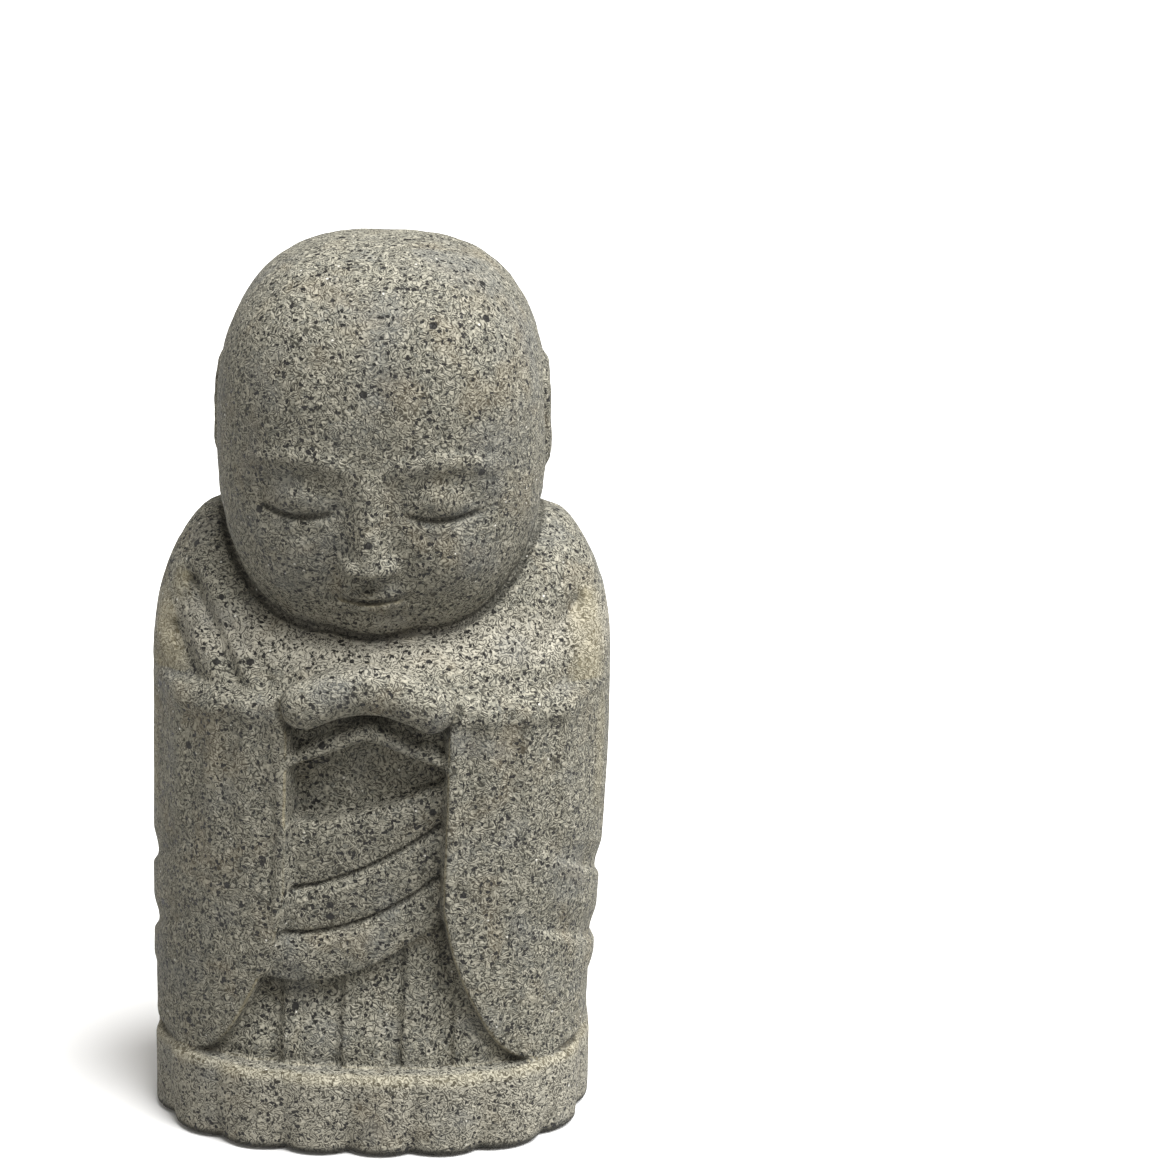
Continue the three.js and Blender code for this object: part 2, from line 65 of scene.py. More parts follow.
# Sizes and levels worked out from them
BASE_WIDTH = 0.971 * ROBE_WIDTH
HEAD_WIDTH = 0.36 * HEIGHT
HEAD_DEPTH = 0.36 * HEIGHT
BAND_TOP = 0.095 * HEIGHT  # upper edge of the lobed base band
HEAD_HEIGHT = 0.44 * HEIGHT
CROWN_LIFT = 0.3  # the bow of the head lifts the back of the crown by this much
HEAD_MID = HEIGHT - HEAD_HEIGHT / 2 - CROWN_LIFT  # level of the brow
FOREARM_TOP = 0.528 * HEIGHT  # ledge where the sleeves hang from the arms
SHOULDER_START = 0.5 * HEIGHT
SHOULDER_RISE = 0.25 * HEIGHT
CHEST_START = FOREARM_TOP
SHOULDER_TOP = SHOULDER_START + SHOULDER_RISE - 4

# Plans are rounded rectangles between an ellipse (2) and a square
ROBE_POWER = 2.3
BASE_POWER = 2.55
ROBE_DEPTH = 0.94 * BASE_DEPTH
HEAD_FORWARD = 4.0  # the head's middle lies this far in front of the robe's
HEAD_TILT = math.radians(4)
SWAY = 2.2  # the foot of the robe and the base stand this far to the viewer's left
FAR = 110.0  # outside the block in every direction


# Small tools of the carver ---------------------------------------------------------------------
def smoothstep(value, low, high):
    t = np.clip((value - low) / (high - low), 0.0, 1.0)
    return t * t * (3 - 2 * t)


def lerp(a, b, t):
    return a + (b - a) * t


def join(a, b, k):
    """Union of two solids, rounded over a width k."""
    return np.minimum(a, b) - np.maximum(k - np.abs(a - b), 0) ** 2 / (4 * k)


def meet(a, b, k):
    return -join(-a, -b, k)


def hill(t):
    """A smooth hill of height 1 and half width 1."""
    return np.maximum(1 - t * t, 0) ** 2


def hill2(u, v):
    return np.maximum(1 - u * u - v * v, 0) ** 2


def outside_plan(x, y, a, b, power):
    """Distance outside a rounded rectangle of half sizes a and b, along the ray from its middle."""
    reach = np.hypot(x, y)
    size = (np.abs(x / a) ** power + np.abs(y / b) ** power) ** (1 / power)
    return reach - reach / np.maximum(size, 1e-6)


def to_segment(x, z, start, end):
    (x0, z0), (x1, z1) = start, end
    dx, dz = x1 - x0, z1 - z0
    t = np.clip(((x - x0) * dx + (z - z0) * dz) / (dx * dx + dz * dz), 0, 1)
    return np.hypot(x - x0 - t * dx, z - z0 - t * dz)


# Head ------------------------------------------------------------------------------------------
# The lower half of the head has four equal parts: eyes, nose, mouth and chin.
PART = HEAD_HEIGHT / 8
EYE_LEVEL = -0.5 * PART
NOSE_FOOT = -2 * PART
MOUTH_LEVEL = -2.55 * PART
CHIN_LEVEL = -3.3 * PART
EYE_WIDTH = HEAD_WIDTH / 4.6
EYE_X = 0.98 * EYE_WIDTH  # middle of each eye
MOUTH_HALF = 11.5
FACE_RELIEF = 1.3  # the features stand out this many times as far as drawn below


def face_height(u, w):
    """Height of the face over the plain head, at u across and w above the brow level."""
    side = np.abs(u)
    eye = (side - EYE_X) / (EYE_WIDTH / 2)
    # brow: a soft arch, full above and stepped back below
    brow = 3.5 - 5.5 * ((side - EYE_X) / EYE_WIDTH) ** 2
    brow_reach = smoothstep(side, 3, 9) * (1 - smoothstep(side, 34, 46))
    socket = -2.4 * hill2(eye / 1.75, (w - EYE_LEVEL + 0.5) / 14) * smoothstep(brow - w, -1.5, 2.5)
    brow_roll = 0.9 * hill((w - brow - 2) / 5) * brow_reach
    # closed lid: a low dome that ends at the curved line of the lashes
    lashes = EYE_LEVEL - 3.8 - 1.6 * (1 - np.minimum(eye * eye, 1.4))
    lid = 3.3 * hill2(eye / 1.12, (w - EYE_LEVEL) / 8.2) * smoothstep(w - lashes, -0.8, 0.8)
    lash_line = -0.9 * hill((w - lashes) / 1.5) * (1 - smoothstep(np.abs(eye), 0.85, 1.15))
    lower_lid = 0.9 * hill((w - lashes + 3) / 3.4) * hill(eye / 1.3)
    # nose: a narrow bridge that widens to a small tip with two wings
    along = np.clip(w / NOSE_FOOT, 0, 1)
    bridge = (0.8 + 6.2 * along ** 1.6) * hill(u / (6 + 4.5 * along))
    nose_end = smoothstep(w, NOSE_FOOT - 0.8, NOSE_FOOT + 2.6) * (1 - smoothstep(w, -4, 7))
    wings = 3.4 * hill2((side - 6.6) / 5, (w - NOSE_FOOT - 3.6) / 5)
    # mouth: two soft lips and the line between them, level and at rest
    across = u / MOUTH_HALF
    line = MOUTH_LEVEL + 0.9 * across * across
    muzzle = 2.0 * hill2(u / 19, (w - MOUTH_LEVEL) / 13)
    upper_lip = 1.7 * hill((w - line - 2.2) / 3) * hill(across / 1.12)
    lower_lip = 1.9 * hill((w - line + 2.6) / 3.4) * hill(across / 0.95)
    mouth_line = -1.1 * hill((w - line) / 1.4) * (1 - smoothstep(np.abs(across), 0.85, 1.1))
    corners = -0.9 * hill2((side - MOUTH_HALF - 0.6) / 3, (w - MOUTH_LEVEL - 0.8) / 3.4)
    philtrum = -0.6 * hill(u / 2.4) * hill((w - (NOSE_FOOT + MOUTH_LEVEL) / 2 - 1) / 4.4)
    # chin and cheeks
    chin = 2.6 * hill2(u / 15, (w - CHIN_LEVEL) / 9)
    under_lip = -0.8 * hill2(u / 10, (w - MOUTH_LEVEL + 8) / 4)
    cheek = 2.2 * hill2((side - 27) / 21, (w - NOSE_FOOT - 2) / 18)
    eyes = socket + brow_roll + lid + lash_line + lower_lid
    mouth = muzzle + upper_lip + lower_lip + mouth_line + corners + philtrum
    return FACE_RELIEF * (eyes + bridge * nose_end + wings + mouth + chin + under_lip) + cheek


def ear_height(v, w):
    """Low ear slab on the side of the head, at v behind its middle and w above the brow level."""
    rim = np.hypot(np.abs((v - 5) / 10) ** 1.6, np.abs((w - 9) / 18) ** 1.6)
    slab = 1.6 * (1 - smoothstep(rim, 0.8, 1.15))
    bowl = -1.1 * hill2((v - 5.5) / 6, (w - 11) / 11)
    front_groove = -0.8 * hill((v + 7) / 2.6) * hill((w - 8) / 20)
    return slab + bowl + front_groove


def head(x, y, z):
    forward = y + HEAD_FORWARD
    v = math.cos(HEAD_TILT) * forward + math.sin(HEAD_TILT) * (z - HEAD_MID)
    w = math.cos(HEAD_TILT) * (z - HEAD_MID) - math.sin(HEAD_TILT) * forward
    low = np.clip(-w / (HEAD_HEIGHT / 2), 0, 1)
    power = 2.5 + 0.2 * smoothstep(w, 0, 30) + np.where(v < 0, 0.5, -0.2) * low * low
    taper = 1 - 0.09 * low * low
    size = (
        np.abs(x / (taper * HEAD_WIDTH / 2)) ** power
        + np.abs(v / (taper * HEAD_DEPTH / 2)) ** power
        + np.abs(w / (HEAD_HEIGHT / 2)) ** power
    ) ** (1 / power)
    reach = np.sqrt(x * x + v * v + w * w)
    plain = reach - reach / np.maximum(size, 1e-6)
    face = face_height(x, w) * smoothstep(-v, 14, 34)
    ear = ear_height(v, w) * smoothstep(np.abs(x), 40, 48)
    return plain - face - ear


# Robe ------------------------------------------------------------------------------------------
# Opening between the sleeves: straight at first, then spreading to two hanging tips
SLEEVE_GAP = 26.0  # half width of the opening
FLARE_TOP = 92.0  # where the sleeve edges begin to spread
TIP_X = 60.0
TIP_Z = 28.5
# Lines across the opening, rising to one side: height on the midline, slope, curvature
SHELF = (118.0, 0.29, 0.005)
FIRST_FOLD = (98.0, 0.48, 0.006)
SECOND_FOLD = (79.8, 0.42, 0.0085)
HEM = (62.0, 0.42, 0.0095)
# Cuffs: two straight edges that meet on the midline like a low roof
CUFF_TOP = (149.0, 0.5)
CUFF_FOOT = (142.0, 0.38)
# Depths of the carved levels behind the sleeves' front
LEDGE_FALL = 5.0
CHEST_DEPTH = 5.5
CUFF_DEPTH = 6.0
POCKET_DEPTH = 15.0
BELLY_DEPTH = 10.0
SKIRT_DEPTH = 10.5  # under the hem
SKIRT_FOOT = 4.0  # at the base band
ROLL_CREST = 0.7  # where a roll of cloth is fullest, from its foot to its upper edge
# Pleats of the skirt: each falls in slowly on one side and comes out sharply on the other
PLEATS = (-28, -8, 12, 29)
PLEAT_DEPTH = 2.4


def line_at(line, x):
    height, slope, curve = line
    return height + slope * x + curve * x * x


def roof_at(roof, x):
    height, fall = roof
    return height - fall * np.abs(x)


def outside_sleeve(side, z):
    """How far a point of the front view is outside the sleeves: negative on a sleeve."""
    spread = 19 * np.maximum((FLARE_TOP - z) / 55, 0) ** 1.8
    hemline = TIP_Z + 0.02 * (side - TIP_X) ** 2
    return meet(SLEEVE_GAP + spread - side, hemline - z, 7)


def roll(x, z, upper, lower, height):
    """A roll of cloth between two lines: fullest under its upper edge, undercut at its foot."""
    top, foot = line_at(upper, x), line_at(lower, x)
    t = np.clip((z - foot) / (top - foot), 0, 1)
    falling = 1 - 0.45 * ((ROLL_CREST - t) / ROLL_CREST) ** 2
    turning = np.sqrt(np.maximum(1 - ((t - ROLL_CREST) / (1 - ROLL_CREST)) ** 2, 0))
    return height * np.where(t < ROLL_CREST, falling, turning) * smoothstep(z - foot, -0.2, 1.1)


def middle_depth(x, z):
    """Depth of the middle of the front, seen between the sleeves."""
    cuff_middle = (roof_at(CUFF_TOP, x) + roof_at(CUFF_FOOT, x)) / 2
    cuff_lip = 2.4 * hill((z - cuff_middle) / 4.5)
    cuff_hollow = 3 * smoothstep(z - roof_at(CUFF_TOP, x), -1, 3)
    pocket = smoothstep(roof_at(CUFF_FOOT, x) - z, -1, 1.6)
    belly = smoothstep(line_at(SHELF, x) - z, -0.6, 1.2)
    skirt = smoothstep(line_at(HEM, x) - z, -0.5, 0.6)
    rolls = (
        roll(x, z, SHELF, FIRST_FOLD, 3.6)
        + roll(x, z, FIRST_FOLD, SECOND_FOLD, 3.8)
        + roll(x, z, SECOND_FOLD, HEM, 4.0)
    )
    pleats = sum(PLEAT_DEPTH * hill((x - at) / np.where(x < at, 7, 3)) for at in PLEATS)
    depth = CUFF_DEPTH + cuff_hollow - cuff_lip
    depth = lerp(depth, POCKET_DEPTH, pocket)
    belly_depth = BELLY_DEPTH + 0.05 * x - 1.5 * smoothstep(84 - z, 0, 22)
    skirt_depth = lerp(SKIRT_FOOT, SKIRT_DEPTH, smoothstep(z, BAND_TOP + 2, line_at(HEM, x)))
    depth = lerp(depth, belly_depth - rolls, belly)
    return lerp(depth, skirt_depth + pleats, skirt)


# Folds at the shoulders, deeper on the viewer's left: two ends, depth and half width
SHOULDER_FOLDS = (
    ((-60, 186), (-44, 159), 2.8, 4.2),
    ((-66, 170), (-58, 158), 1.4, 4.0),
    ((-46, 174), (-33, 160), 1.4, 4.0),
    ((65, 182), (48, 161), 1.3, 4.2),
    ((46, 178), (36, 161), 0.8, 4.0),
)


def shoulder_folds(x, z):
    """Grooves with a low bank of cloth along each side."""
    total = 0
    for start, end, depth, half in SHOULDER_FOLDS:
        away = to_segment(x, z, start, end) / half
        total = total + depth * (hill(away) - 0.2 * hill((away - 1.7) / 0.9))
    return total


def front_depth(x, z):
    """Depth carved into the front of the robe."""
    side = np.abs(x)
    ledge = FOREARM_TOP - 0.02 * side
    climb = np.clip((z - ledge + LEDGE_FALL) / LEDGE_FALL, 0, 1)
    chest = CHEST_DEPTH * climb ** 1.7 * (1 - smoothstep(side, 60, 76))
    chest = chest * (1 - 0.7 * smoothstep(z, 172, 200)) * (0.5 + 0.5 * smoothstep(side, 12, 32))
    lip = -1.2 * hill((z - ledge + LEDGE_FALL + 2.5) / 4.5) * (1 - smoothstep(side, 62, 76))
    outside = outside_sleeve(side, z)
    under_arms = 1 - smoothstep(z - ledge, -6, -3)
    # the edge is softer on the viewer's left
    edge = 2.2 + 0.9 * (1 - smoothstep(x, -30, 10))
    opening = smoothstep(outside, -0.4 * edge, edge) * under_arms
    flutes = 0.6 * (1 - np.cos((side - 28) * 0.52)) * smoothstep(z, 92, 120) * under_arms
    inner_hem = np.where(x < 0, 0.9, 0.4) * hill((outside + 4.5) / 1.8)
    inner_hem = inner_hem * smoothstep(z, 70, 84) * (1 - smoothstep(z, 118, 128))
    sleeve = (1 - opening) * (flutes + inner_hem)
    return chest + lip + opening * middle_depth(x, z) + sleeve + shoulder_folds(x, z)


# Folds that swing round the sides of the sleeves: start angle from the front, level, fall
SIDE_FOLDS = ((48, 107, 30), (46, 81, 26))
SIDE_FOLD_DEPTH = 1.7
# Shallow folds across the back: levels on the midline
BACK_FOLDS = (158, 126, 94)


def side_depth(angle, z):
    total = 0
    for start, level, fall in SIDE_FOLDS:
        t = np.clip((angle - start) / 75, 0, 1)
        at = level - fall * np.sin(t * math.pi / 2)
        reach = smoothstep(angle, start, start + 18) * (1 - smoothstep(angle, 125, 150))
        total = total + SIDE_FOLD_DEPTH * reach * np.where(z > at, hill((z - at) / 10), hill((at - z) / 4))
    # under the sleeve hem the skirt lies further back, all the way round
    hemline = 51 + 10 * smoothstep(angle, 85, 140)
    skirt = 1.6 * smoothstep(hemline - z, -1.5, 2) * smoothstep(angle, 72, 88)
    return total + skirt


def back_depth(x, z):
    total = 0
    for level in BACK_FOLDS:
        at = level + 0.42 * x - 0.003 * x * x
        total = total + np.where(z > at, hill((z - at) / 9), hill((z - at) / 3.5))
    return total


def robe(x, y, z):
    x = x + SWAY * (1 - smoothstep(z, 40, 140))
    angle = np.degrees(np.arctan2(np.abs(x), -y))
    over = np.clip((z - SHOULDER_START) / SHOULDER_RISE, 0, 0.99)
    shoulder = (1 - over ** 2.7) ** 0.38
    slope = np.clip((z - CHEST_START) / (SHOULDER_TOP - CHEST_START), 0, 0.99)
    # the front slopes back sooner than the sides, most of all under the chin
    chest = lerp(1 - slope ** 1.05, shoulder, 0.55 * smoothstep(np.abs(x), 18, 62))
    slim = 1 - 0.02 * (1 - smoothstep(z, 30, 130))
    half_width = ROBE_WIDTH / 2 * slim * shoulder
    half_depth = ROBE_DEPTH / 2 * slim * np.where(y < 0, chest, shoulder)
    column = outside_plan(x, y, half_width, half_depth, ROBE_POWER)
    front = smoothstep(-y, 2, 16)
    back = smoothstep(y, 8, 28)
    depth = front * front_depth(x, z) + back * back_depth(x, z) + side_depth(angle, z)
    return np.maximum(column + depth, z - SHOULDER_TOP)


# Joined hands, a row of knuckles arching from fist to fist: side, depth, height and radius
HAND_ROW = ((20.4, -54.2, 154.4, 8), (9.5, -53, 158.3, 7.5), (0, -53, 159.8, 8.2))


def hands(x, y, z):
    side = np.abs(x)
    distance = FAR
    for (ax, ay, az, ar), (bx, by, bz, br) in zip(HAND_ROW, HAND_ROW[1:]):
        dx, dy, dz = bx - ax, by - ay, bz - az
        along = (side - ax) * dx + (y - ay) * dy + (z - az) * dz
        t = np.clip(along / (dx * dx + dy * dy + dz * dz), 0, 1)
        away = np.sqrt((side - ax - t * dx) ** 2 + (y - ay - t * dy) ** 2 + (z - az - t * dz) ** 2)
        distance = join(distance, away - lerp(ar, br, t), 1.5)
    return distance


# Base band: upright lobes all round, with a worn upper edge and a rounded foot
LOBES = 18
LOBE_TURN = math.radians(17)
FOOT_ROUND = 2.6
FOOT_SLIT = 1.6  # the foot draws in this much more where it meets the ground
JAW_SLIT = 2.6  # depth of the narrow groove around the head


def base_band(x, y, z):
    x = x + SWAY
    angle = np.arctan2(x, -y)
    lobe = (np.sin(LOBES / 2 * (angle - LOBE_TURN)) ** 2 + 0.015) ** 0.3
    cut = (1 - np.minimum(lobe, 1)) * (2.0 + 2.6 * (1 - smoothstep(z, 0, 12)))
    cut = cut + FOOT_SLIT * (1 - smoothstep(z, 0.7, 1.5))
    low = np.clip(FOOT_ROUND - z, 0, FOOT_ROUND)
    foot = FOOT_ROUND - np.sqrt(np.maximum(FOOT_ROUND ** 2 - low ** 2, 0))
    ring = outside_plan(x, y, BASE_WIDTH / 2, BASE_DEPTH / 2, BASE_POWER) + cut + foot
    return meet(ring, z - BAND_TOP, 4)


def carving(x, y, z):
    """The whole statue: negative inside the stone, zero on its surface."""
    skull = head(x, y, z)
    joined = hands(x, y, z)
    # a groove runs round the hands at the sides and below; above they run into the chest
    beside = 1 - smoothstep(z + 0.35 * np.abs(x), FOREARM_TOP + 5, FOREARM_TOP + 9)
    collar = 4.5 * hill(np.maximum(skull, 0) / 12) + JAW_SLIT * hill(np.maximum(skull, 0) / 3.5)
    collar = collar + 2.4 * beside * hill(np.maximum(joined, 0) / 4.0)
    body = join(robe(x, y, z) + collar, base_band(x, y, z), 2)
    figure = join(join(body, skull, 1.5), joined, 1.0)
    return np.maximum(figure, -z)


# Cutting the surface out of the field ----------------------------------------------------------
def grown(mask):
    """A mask of cells, grown by one cell each way."""
    wide = mask.copy()
    for axis in range(3):
        ahead = [slice(None)] * 3
        behind = [slice(None)] * 3
        ahead[axis], behind[axis] = slice(1, None), slice(None, -1)
        ahead, behind = tuple(ahead), tuple(behind)
        again = wide.copy()
        again[ahead] |= wide[behind]
        again[behind] |= wide[ahead]
        wide = again
    return wide


def sample_field(low, count, step, levels):
    """The field on a grid, worked out finely only near the surface."""
    coarse = step * 2 ** levels
    size = [int(n) + 1 for n in count]
    axes = [low[i] + coarse * np.arange(size[i]) for i in range(3)]
    x, y, z = np.meshgrid(*axes, indexing="ij")
    values = carving(x, y, z)
    for level in range(levels):
        inside = values < 0
        mixed = np.zeros(inside.shape, bool)
        for axis in range(3):
            differs = np.diff(inside, axis=axis)
            ahead = [slice(None)] * 3
            behind = [slice(None)] * 3
            ahead[axis], behind[axis] = slice(1, None), slice(None, -1)
            mixed[tuple(ahead)] |= differs
            mixed[tuple(behind)] |= differs
        near = grown(mixed)
        fine = [2 * n - 1 for n in values.shape]
        spread = values
        close = near
        for axis in range(3):
            spread = np.repeat(spread, 2, axis=axis)
            close = np.repeat(close, 2, axis=axis)
        spread = spread[: fine[0], : fine[1], : fine[2]]
        close = close[: fine[0], : fine[1], : fine[2]]
        here = coarse / 2 ** (level + 1)
        i, j, k = np.nonzero(close)
        points = [low[a] + here * index for a, index in enumerate((i, j, k))]
        spread[i, j, k] = carving(*points)
        values = spread
    return values


def surface_net(values, low, step):
    """One vertex in each cell that the surface crosses, and a quad round each crossed edge."""
    inside = values < 0
    corner = [slice(None, -1), slice(1, None)]
    shape = tuple(n - 1 for n in values.shape)
    count = np.zeros(shape, np.int8)
    for di in (0, 1):
        for dj in (0, 1):
            for dk in (0, 1):
                count += inside[corner[di], corner[dj], corner[dk]]
    i, j, k = np.nonzero((count > 0) & (count < 8))
    number = np.full(shape, -1, np.int64)
    number[i, j, k] = np.arange(len(i))
    total = np.zeros((len(i), 3))
    crossings = np.zeros(len(i))
    for axis in range(3):
        others = [a for a in range(3) if a != axis]
        for first in (0, 1):
            for second in (0, 1):
                start = np.zeros(3, int)
                start[others[0]], start[others[1]] = first, second
                end = start.copy()
                end[axis] = 1
                a = values[i + start[0], j + start[1], k + start[2]]
                b = values[i + end[0], j + end[1], k + end[2]]
                crossed = (a < 0) != (b < 0)
                t = np.where(crossed, a / np.where(crossed, a - b, 1), 0)
                point = np.tile(start.astype(float), (len(i), 1))
                point[:, axis] += t
                total += point * crossed[:, None]
                crossings += crossed
    points = np.stack([i, j, k], 1) + total / crossings[:, None]
    quads = []
    for axis in range(3):
        u, v = (axis + 1) % 3, (axis + 2) % 3
        edge = np.diff(inside.astype(np.int8), axis=axis)
        at = np.stack(np.nonzero(edge), 1)
        keep = (at[:, u] > 0) & (at[:, v] > 0)
        keep &= (at[:, u] < values.shape[u] - 1) & (at[:, v] < values.shape[v] - 1)
        at = at[keep]
        sign = edge[tuple(at.T)]
        ring = []
        for du, dv in ((-1, -1), (0, -1), (0, 0), (-1, 0)):
            cell = at.copy()
            cell[:, u] += du
            cell[:, v] += dv
            ring.append(number[tuple(cell.T)])
        quad = np.stack(ring, 1)
        quad[sign > 0] = quad[sign > 0][:, ::-1]
        quads.append(quad)
    return np.array(low) + points * step, np.concatenate(quads)


def slope_of(points, reach=0.12):
    """Field and its slope at each point."""
    x, y, z = points.T
    here = carving(x, y, z)
    slope = np.stack(
        [
            carving(x + reach, y, z) - here,
            carving(x, y + reach, z) - here,
            carving(x, y, z + reach) - here,
        ],
        1,
    ) / reach
    return here, slope


def settle(points, step, rounds):
    """Moves points onto the carved surface."""
    for _ in range(rounds):
        here, slope = slope_of(points)
        move = -here / np.maximum((slope ** 2).sum(1), 0.2)
        length = np.abs(move) * np.linalg.norm(slope, axis=1)
        move *= np.minimum(1, 0.7 * step / np.maximum(length, 1e-9))
        points = points + move[:, None] * slope
    points[:, 2] = np.where(points[:, 2] < 0.3 * step, 0, points[:, 2])
    return points


def ripple(points, wave, seed):
    """Smooth repeatable unevenness from -1 to 1 with bumps about one wave apart."""
    rng = np.random.default_rng(seed)
    table = rng.uniform(-1, 1, 4096)
    cell = points / wave
    base = np.floor(cell).astype(np.int64)
    t = cell - base
    t = t * t * (3 - 2 * t)
    total = 0
    for di in (0, 1):
        for dj in (0, 1):
            for dk in (0, 1):
                key = (base[:, 0] + di) * 73856093 ^ (base[:, 1] + dj) * 19349663
                key = (key ^ (base[:, 2] + dk) * 83492791) % 4096
                weight = np.abs(1 - di - t[:, 0]) * np.abs(1 - dj - t[:, 1]) * np.abs(1 - dk - t[:, 2])
                total = total + table[key] * weight
    return total


def carve_statue(step, most_triangles):
    """The carved stone as a mesh in metres, with its hollows and ridges marked."""
    levels = 3
    coarse = step * 2 ** levels
    half = (ROBE_WIDTH / 2 + 6, BASE_DEPTH / 2 + 9)
    low = (-half[0], -half[1], -0.5 * step)
    count = (2 * half[0] / coarse, 2 * half[1] / coarse, (HEIGHT + 6) / coarse)
    count = [math.ceil(n) for n in count]
    values = sample_field(low, count, step, levels)
    points, quads = surface_net(values, low, step)
    points = settle(points, step, 2)
    mesh = bpy.data.meshes.new("statue_carved")
    mesh.from_pydata((points * MM).tolist(), [], quads.tolist())
    statue = bpy.data.objects.new("statue_carved", mesh)
    bpy.context.scene.collection.objects.link(statue)
    share = most_triangles / (2 * len(quads))
    if share < 1:
        thin = statue.modifiers.new("Thin", "DECIMATE")
        thin.ratio = share
        thinned = bpy.data.meshes.new_from_object(
            statue.evaluated_get(bpy.context.evaluated_depsgraph_get())
        )
        statue.modifiers.clear()
        statue.data = thinned
        bpy.data.meshes.remove(mesh)
        mesh = thinned
        mesh.name = "statue_carved"
    finish_surface(mesh, step)
    return statue


def finish_surface(mesh, step):
    """Settles the thinned mesh, works in the chisel's unevenness and stores hollows and ridges."""
    flat = np.empty(len(mesh.vertices) * 3)
    mesh.vertices.foreach_get("co", flat)
    points = settle(flat.reshape(-1, 3) / MM, step, 2)
    _, slope = slope_of(points)
    normal = slope / np.maximum(np.linalg.norm(slope, axis=1), 1e-6)[:, None]
    near = 1 - carving(*(points + 3 * normal).T) / 3
    wide = 1 - carving(*(points + 12 * normal).T) / 12
    ridge = 1 + carving(*(points - 2.5 * normal).T) / 2.5
    uneven = 0.22 * ripple(points, 7.0, 11) + 0.14 * ripple(points, 3.1, 12)
    above = smoothstep(points[:, 2], 0.5, 3)
    points = points + (uneven * above)[:, None] * normal
    points = np.clip(points * MM + np.array(MIDDLE), np.array(LOW), np.array(HIGH))
    mesh.vertices.foreach_set("co", points.ravel())
    for name, value in (("hollow", near), ("shade", wide), ("ridge", ridge)):
        marked = mesh.attributes.new(name, "FLOAT", "POINT")
        marked.data.foreach_set("value", np.clip(value, 0, 1).astype(np.float32))
    mesh.update()
    for polygon in mesh.polygons:
        polygon.use_smooth = True


# Shader tools ----------------------------------------------------------------------------------
def linear(colour):
    """A colour as it looks on a screen, turned to the amounts of light that shaders use."""
    return tuple(c / 12.92 if c <= 0.04045 else ((c + 0.055) / 1.055) ** 2.4 for c in colour) + (1.0,)


class Amount:
    """A number that changes over the surface: sums on it add Math nodes."""

    def __init__(self, graph, socket):
        self.graph = graph
        self.socket = socket

    def math(self, operation, first, second=0.0):
        made = self.graph.node("ShaderNodeMath", {"operation": operation}, {0: first, 1: second})
        return Amount(self.graph, made.outputs[0])

    def __add__(self, other):
        return self.math("ADD", self, other)

    def __radd__(self, other):
        return self.math("ADD", other, self)

    def __sub__(self, other):
        return self.math("SUBTRACT", self, other)

    def __rsub__(self, other):
        return self.math("SUBTRACT", other, self)

    def __mul__(self, other):
        return self.math("MULTIPLY", self, other)

    def __rmul__(self, other):
        return self.math("MULTIPLY", other, self)

    def sine(self):
        return self.math("SINE", self)

    def ramp(self, low, high):
        """0 below low and 1 above high, smooth between them, or the other way round."""
        values = {"Value": self, "From Min": low, "From Max": high}
        made = self.graph.node("ShaderNodeMapRange", {"interpolation_type": "SMOOTHSTEP"}, values)
        return Amount(self.graph, made.outputs["Result"])


class Graph:
    """The nodes of one material."""

    def __init__(self, material):
        material.use_nodes = True
        self.tree = material.node_tree
        self.tree.nodes.clear()

    def node(self, kind, settings=None, values=None):
        made = self.tree.nodes.new(kind)
        for name, setting in (settings or {}).items():
            if name == "stops":
                self.set_stops(made.color_ramp, setting)
            else:
                setattr(made, name, setting)
        for name, value in (values or {}).items():
            self.feed(made.inputs[name], value)
        return made

    def feed(self, socket, value):
        if isinstance(value, Amount):
            value = value.socket
        if isinstance(value, bpy.types.NodeSocket):
            self.tree.links.new(value, socket)
        else:
            socket.default_value = value

    @staticmethod
    def set_stops(ramp, stops):
        while len(ramp.elements) < len(stops):
            ramp.elements.new(1.0)
        for element, (position, colour) in zip(ramp.elements, stops):
            element.position = position
            element.color = colour

    def marked(self, name):
        """An amount stored on the mesh."""
        made = self.node("ShaderNodeAttribute", {"attribute_name": name, "attribute_type": "GEOMETRY"})
        return Amount(self, made.outputs["Fac"])

    def noise(self, place, scale, detail, distortion=0.0):
        values = {"Vector": place, "Scale": scale, "Detail": detail, "Distortion": distortion}
        return self.node("ShaderNodeTexNoise", {}, values)

    def cloud(self, place, scale, detail, distortion=0.0):
        return Amount(self, self.noise(place, scale, detail, distortion).outputs["Fac"])

    def cells(self, place, scale):
        """Distance from the middle of the nearest grain, and three chances of that grain."""
        made = self.node("ShaderNodeTexVoronoi", {}, {"Vector": place, "Scale": scale})
        parts = self.node("ShaderNodeSeparateColor", {}, {"Color": made.outputs["Color"]})
        chance = [Amount(self, parts.outputs[i]) for i in range(3)]
        return Amount(self, made.outputs["Distance"]), chance

    def mix(self, amount, first, second):
        made = self.node("ShaderNodeMix", {"data_type": "RGBA"}, {"Factor": amount, 6: first, 7: second})
        return made.outputs[2]

    def moved(self, place, offset):
        made = self.node("ShaderNodeVectorMath", {"operation": "ADD"}, {0: place, 1: offset})
        return made.outputs[0]

    def scaled(self, place, factors):
        made = self.node("ShaderNodeVectorMath", {"operation": "MULTIPLY"}, {0: place, 1: factors})
        return made.outputs[0]


MICA_SCALE = 780.0  # grains to a metre
SPOT_SCALE = 85.0
STROKE_TURNS = 40.0  # strokes run along the level lines of a noise: turns of the sine over its range
# levels of the painted light on the slope between hands and head
PAINTED_CHEST_LIGHT_FROM, PAINTED_CHEST_LIGHT_TO = 0.162, 0.186  # metres above the ground
# top of the painted contact shadow at the foot, in metres
CONTACT_SHADOW_TOP = 0.0042


